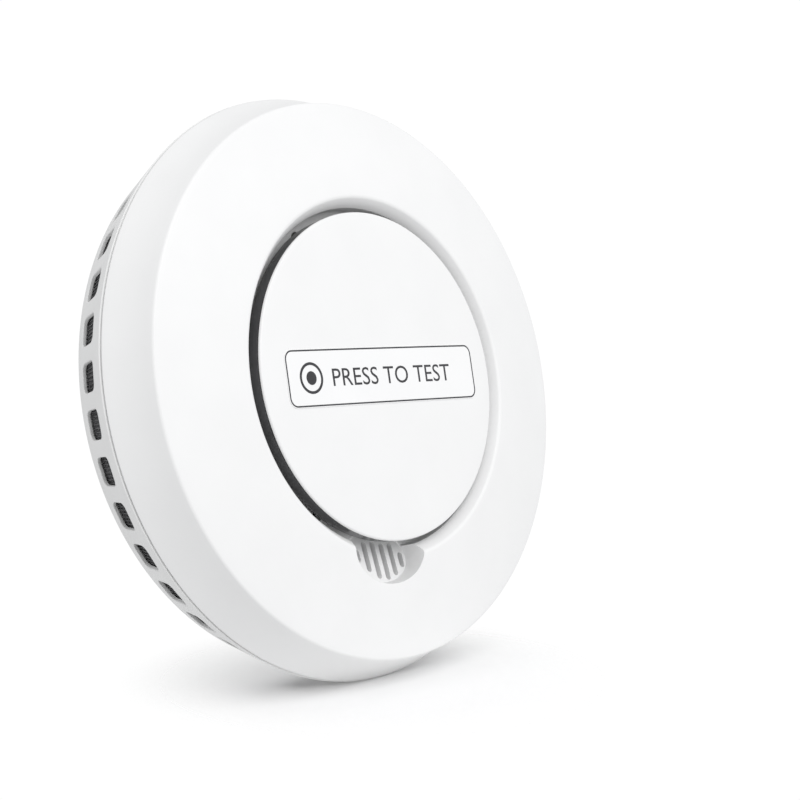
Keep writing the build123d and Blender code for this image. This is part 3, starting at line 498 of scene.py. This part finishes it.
slots = bmesh.new()
for k, (inner, outer) in enumerate(zip(SLOT_INNER, SLOT_OUTER)):
    x = SLOT_X + (k - (len(SLOT_INNER) - 1) / 2) * SLOT_PITCH
    slot_face = slots.faces.new([
        slots.verts.new(Vector((x + sx * SLOT_W / 2, -D_CUT, z)) * MM)
        for sx, z in ((-1, -inner), (1, -inner), (1, -outer), (-1, -outer))
    ])
    bmesh.ops.bevel(slots, geom=slot_face.verts[:], offset=SLOT_W * 0.499 * MM, segments=6, profile=0.5,
                    affect="VERTICES", material=-1)
stretch = bmesh.ops.extrude_face_region(slots, geom=slots.faces[:])
bmesh.ops.translate(slots, verts=new_verts(stretch), vec=(0, -CUT_L * MM, 0))
for k in range(LAMPS):
    rod(slots, LAMP_WINDOW_R, D_CUT, D_CUT + 4.0, LAMP_R, 360 * k / LAMPS, segments=20)
for post_angle in POST_ANGLES:
    rod(slots, 1.42, D_POST_TOP, D_POST_TOP + CUT_L, POST_R, post_angle, segments=20)
cover = carved(cover, closed(slots), "DIFFERENCE")
cover_white = moulded(
    "moulded_white_cover", (0.87, 0.87, 0.868), 0.46, grain_mm=0.24, bump=0.10, mottle=0.006
)
new_piece("cover_shell", closed(cover), cover_white, "alarm", "cover_white", "front_cover")


# ---- test button --------------------------------------------------------------------------
# A broad, slightly crowned cap. Its collar slides in the cover's bore, a boss in the middle
# presses the switch, and a hoop of smoked acrylic under its rim glows when the alarm is set.
# The hoop's near-black colour also paints the shade in the gap under the cap's rim.
BUTTON_R, D_BUTTON_EDGE, CROWN, D_CAP_UNDER = 33.2, 29.75, 0.45, 28.7
COLLAR_OUT_R, COLLAR_IN_R, D_COLLAR = 17.92, 16.62, 22.2
BOSS_R, D_BOSS = 3.0, 25.2
PIN_ANGLES, PIN_RADIUS = (90, 210, 330), 24.5        # pins that centre the return springs
CLIP_SPAN = 12
CROWN_SPHERE_R = (BUTTON_R**2 + CROWN**2) / (2 * CROWN)


def crown_d(r):
    """Distance of the cap's crown from the wall at a radius."""
    return D_BUTTON_EDGE + CROWN - CROWN_SPHERE_R + sqrt(CROWN_SPHERE_R**2 - r * r)


cap = lathe(
    [(0, D_BUTTON_EDGE + CROWN), *((r, crown_d(r)) for r in (3, 6, 9, 12, 15, 18, 21, 24, 27, 30)),
     (BUTTON_R, D_BUTTON_EDGE), (BUTTON_R, D_CAP_UNDER + 0.5), (BUTTON_R - 0.5, D_CAP_UNDER),
     (COLLAR_OUT_R, D_CAP_UNDER), (COLLAR_OUT_R, D_COLLAR), (COLLAR_IN_R, D_COLLAR),
     (COLLAR_IN_R, D_CAP_UNDER), (BOSS_R, D_CAP_UNDER), (BOSS_R, D_BOSS), (0, D_BOSS)],
    rounds=(((BUTTON_R, D_BUTTON_EDGE), 0.4),),
)
cap = closed(cap)
added = bmesh.new()
for pin_angle in PIN_ANGLES:
    rod(added, 1.3, D_CAP_UNDER - 1.4, D_CAP_UNDER + 0.2, PIN_RADIUS, pin_angle, segments=24)
for clip_angle in HOOK_ANGLES:
    clip = bmesh.new()
    clip_face = wire(clip, ((COLLAR_IN_R, 21.3), (COLLAR_OUT_R - 0.3, 21.3), (COLLAR_OUT_R + 0.9, 22.0),
                            (COLLAR_OUT_R + 0.9, 22.2), (COLLAR_OUT_R - 0.2, 22.3), (COLLAR_IN_R, 22.3)))
    clip_start = Matrix.Rotation(-radians(clip_angle - CLIP_SPAN / 2), 3, "Y")
    bmesh.ops.rotate(clip, verts=clip.verts, cent=(0, 0, 0), matrix=clip_start)
    bmesh.ops.spin(clip, geom=[clip_face], cent=(0, 0, 0), axis=(0, -1, 0), angle=radians(CLIP_SPAN), steps=8)
    clip_mesh = bpy.data.meshes.new("clip")
    clip.to_mesh(clip_mesh)
    clip.free()
    added.from_mesh(clip_mesh)
    bpy.data.meshes.remove(clip_mesh)
cap = carved(cap, closed(added), "UNION")
new_piece("button_shell", closed(cap), cover_white, "test_button", "cover_white", "button_cap")

# Painted shade: the hoop's near-black colour also stands in for the shade in the narrow gap under the cap's
# rim.
smoked_and_rim_shade = moulded("smoked_acrylic_and_rim_shade", (0.085, 0.085, 0.088), 0.24, grain_mm=0.5, bump=0.03, mottle=0.1, coat=0.4)
ring = lathe(
    ((31.0, D_CAP_UNDER), (32.95, D_CAP_UNDER), (32.95, 26.05), (32.6, 25.75), (31.0, 25.75)),
    rounds=(((31.0, 25.75), 0.2),),
)
new_piece("smoked_hoop_and_rim_shade", closed(ring), smoked_and_rim_shade, "test_button", "smoked_plastic", "light_ring")


# ---- button badge -------------------------------------------------------------------------
# A thin white film label stuck on the crown, a little out of level, printed in dark grey with
# a border, a push symbol and the words that every such button carries.
BADGE_L, BADGE_H, BADGE_T, BADGE_CORNER = 55.0, 11.4, 0.15, 2.0
BADGE_X, BADGE_TURN = 0.5, radians(4.8)
INK_T = 0.02


def rounded_plate(bm, length, height, corner):
    """Add a flat rounded rectangle in x and z, in mm, facing the room."""
    face = bm.faces.new([
        bm.verts.new((x * length / 2, 0, z * height / 2)) for x, z in ((-1, -1), (1, -1), (1, 1), (-1, 1))
    ])
    bmesh.ops.bevel(
        bm, geom=face.verts[:], offset=corner, segments=8, profile=0.5, affect="VERTICES", material=-1
    )


def laid_on_crown(bm, above, thick):
    """Slice a flat drawing finely, lay it on the crown and give it a thickness."""
    cuts = [((x, 0, 0), (1, 0, 0)) for x in range(-27, 28, 3)]
    cuts += [((0, 0, z), (0, 0, 1)) for z in range(-4, 5, 2)]
    for place, across in cuts:
        bmesh.ops.bisect_plane(
            bm, geom=bm.verts[:] + bm.edges[:] + bm.faces[:], plane_co=place, plane_no=across
        )
    front = set(new_verts(bmesh.ops.extrude_face_region(bm, geom=bm.faces[:])))
    for v in bm.verts:
        x = v.co.x * cos(BADGE_TURN) - v.co.z * sin(BADGE_TURN) + BADGE_X
        z = v.co.x * sin(BADGE_TURN) + v.co.z * cos(BADGE_TURN)
        v.co = Vector((x, -(crown_d(hypot(x, z)) + above + (thick if v in front else 0.0)), z)) * MM
    bmesh.ops.recalc_face_normals(bm, faces=bm.faces)
    return bm


badge = bmesh.new()
rounded_plate(badge, BADGE_L, BADGE_H, BADGE_CORNER)
film = moulded("label_film", (0.90, 0.90, 0.90), 0.38, grain_mm=0.6, bump=0.04, mottle=0.006)
new_piece(
    "badge_film", laid_on_crown(badge, 0.0, BADGE_T), film, "test_button", "label_white", "button_badge"
)

ink = moulded("printing_ink", (0.035, 0.035, 0.04), 0.5, grain_mm=0.15, bump=0.05, mottle=0.15)
border = bmesh.new()
rounded_plate(border, BADGE_L - 0.3, BADGE_H - 0.3, BADGE_CORNER - 0.15)
bmesh.ops.inset_region(border, faces=border.faces[:], thickness=0.3, use_boundary=True, use_even_offset=True)
bmesh.ops.delete(border, geom=[max(border.faces, key=lambda f: f.calc_area())], context="FACES_ONLY")
new_piece("badge_border", laid_on_crown(border, BADGE_T, INK_T), ink, "test_button", "black_plastic")

symbol = bmesh.new()
bmesh.ops.create_circle(symbol, cap_ends=True, segments=48, radius=3.1)
bmesh.ops.inset_region(symbol, faces=symbol.faces[:], thickness=0.55, use_boundary=True, use_even_offset=True)
bmesh.ops.delete(symbol, geom=[max(symbol.faces, key=lambda f: f.calc_area())], context="FACES_ONLY")
bmesh.ops.create_circle(symbol, cap_ends=True, segments=32, radius=1.35)
bmesh.ops.rotate(symbol, verts=symbol.verts, cent=(0, 0, 0), matrix=Matrix.Rotation(pi / 2, 3, "X"))
bmesh.ops.translate(symbol, verts=symbol.verts, vec=(-21.0, 0, 0))
new_piece("badge_symbol", laid_on_crown(symbol, BADGE_T, INK_T), ink, "test_button", "black_plastic")

WORDS_SIZE, WORDS_LEFT, WORDS_LOW, WORDS_STRETCH = 5.0, -15.6, -1.75, 1.06
text = bpy.data.curves.new("badge_words", "FONT")
text.body, text.size, text.resolution_u = "PRESS TO TEST", WORDS_SIZE, 4
lettering = bpy.data.objects.new("badge_words_drawing", text)
scene.collection.objects.link(lettering)
bpy.context.view_layer.update()
drawing = bpy.data.meshes.new_from_object(lettering)
bpy.data.objects.remove(lettering)
letters = bmesh.new()
letters.from_mesh(drawing)
bpy.data.meshes.remove(drawing)
bmesh.ops.remove_doubles(letters, verts=letters.verts, dist=0.001)
bmesh.ops.scale(letters, verts=letters.verts, vec=(WORDS_STRETCH, 1.0, 1.0))
bmesh.ops.rotate(letters, verts=letters.verts, cent=(0, 0, 0), matrix=Matrix.Rotation(pi / 2, 3, "X"))
bmesh.ops.translate(letters, verts=letters.verts, vec=(WORDS_LEFT, 0, WORDS_LOW))
new_piece("badge_words", laid_on_crown(letters, BADGE_T, INK_T), ink, "test_button", "black_plastic")


# ---- return springs -----------------------------------------------------------------------
# Three light coils of drawn steel wire stand on the well's floor and push the cap out. In the
# alarm they close up as the button goes in; these keep one length.
SPRING_R, SPRING_WIRE_R, SPRING_TURNS, SPRING_SIDES = 1.9, 0.2, 3, 36
SPRING_FOOT, SPRING_TOP = D_WELL_FLOOR + SPRING_WIRE_R + 0.03, D_CAP_UNDER - SPRING_WIRE_R - 0.03
drawn_wire = moulded(
    "drawn_spring_wire", (0.50, 0.50, 0.51), 0.3, grain_mm=0.1, bump=0.1, mottle=0.06, metal=1.0
)
coils = bmesh.new()
for spring_angle in PIN_ANGLES:
    section = bmesh.ops.create_circle(
        coils, cap_ends=True, segments=10, radius=SPRING_WIRE_R * MM,
        matrix=Matrix.Translation(Vector((SPRING_R, -SPRING_FOOT, 0)) * MM),
    )["verts"]
    face = next(f for f in coils.faces if section[0] in f.verts)
    bmesh.ops.spin(
        coils, geom=[face], cent=(0, 0, 0), axis=(0, -1, 0), dvec=Vector(
            (0, -(SPRING_TOP - SPRING_FOOT) * MM / (SPRING_TURNS * SPRING_SIDES), 0)),
        angle=2 * pi * SPRING_TURNS, steps=SPRING_TURNS * SPRING_SIDES,
    )
    a = radians(spring_angle)
    wound = [v for v in coils.verts if hypot(v.co.x, v.co.z) < 3 * MM]
    bmesh.ops.translate(coils, verts=wound, vec=Vector((cos(a), 0, sin(a))) * PIN_RADIUS * MM)
bmesh.ops.recalc_face_normals(coils, faces=coils.faces)
springs = new_piece("return_springs", coils, drawn_wire, "alarm", "spring_steel", "button_springs", crease=60)
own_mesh(springs)


# ---- bracket, screws, electronics, sounder and battery ------------------------------------
# These keep their CAD shapes. Each gets the finish of what it is made of.
bracket_white = moulded("moulded_white_bracket", (0.80, 0.80, 0.79), 0.5, grain_mm=0.4, bump=0.18)
black = moulded("black_nylon", (0.018, 0.018, 0.019), 0.5, grain_mm=0.3, bump=0.12, mottle=0.1)
zinc = moulded("zinc_plate", (0.60, 0.60, 0.57), 0.36, grain_mm=0.2, bump=0.12, mottle=0.08, metal=1.0)
tin = moulded("bright_tin", (0.70, 0.70, 0.69), 0.28, grain_mm=0.5, bump=0.06, mottle=0.05, metal=1.0)
brass = moulded("rolled_brass", (0.70, 0.50, 0.20), 0.3, grain_mm=0.4, bump=0.06, mottle=0.08, metal=1.0)
board = moulded("solder_mask", (0.012, 0.12, 0.05), 0.32, grain_mm=0.6, bump=0.08, mottle=0.25, coat=0.3)
FINISHES = {
    "mounting_bracket": bracket_white,
    "case_screws": zinc, "board_screws": zinc,
    "circuit_board": board, "radio_module": board,
    "radio_shield": tin, "switch_plate": tin, "battery_contact_plus": tin, "battery_contact_minus": tin,
    "piezo_plate": brass,
    "chamber_base": black, "chamber_cap": black, "switch_body": black, "switch_plunger": black,
    "sounder_cup": black, "sounder_cap": black, "battery_cradle": black,
    "chamber_mesh": screen_steel_and_vent_shade,
    "infrared_led": moulded("clear_epoxy", (0.72, 0.78, 0.82), 0.1, bump=0.02, coat=0.5),
    "photodiode": moulded("dark_epoxy", (0.025, 0.018, 0.026), 0.12, bump=0.02, coat=0.5),
    "ring_leds": moulded("lamp_phosphor", (0.82, 0.78, 0.42), 0.4, grain_mm=0.1),
    "microcontroller": moulded("chip_epoxy", (0.028, 0.028, 0.03), 0.55, grain_mm=0.1, bump=0.2, mottle=0.1),
    "capacitors": moulded("capacitor_sleeve", (0.04, 0.06, 0.11), 0.3, mottle=0.1, coat=0.3),
    "sounder_coil": moulded("ferrite", (0.045, 0.045, 0.047), 0.62, grain_mm=0.15, bump=0.25, mottle=0.12),
    "battery_socket": moulded("natural_nylon", (0.76, 0.73, 0.63), 0.5, grain_mm=0.4, mottle=0.03),
    "piezo_ceramic": moulded(
        "silvered_ceramic", (0.58, 0.58, 0.57), 0.45, grain_mm=0.2, mottle=0.06, metal=0.4
    ),
    "sounder_seal": moulded("cell_foam", (0.025, 0.025, 0.026), 0.9, grain_mm=0.5, bump=0.8, mottle=0.3),
    "battery": moulded(
        "battery_sleeve", (0.16, 0.29, 0.27), 0.28, grain_mm=1.2, bump=0.05, mottle=0.08, coat=0.4
    ),
    "rating_label": film,
}
for node_name, finish in FINISHES.items():
    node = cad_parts[node_name]
    node.data.materials.clear()
    node.data.materials.append(finish)
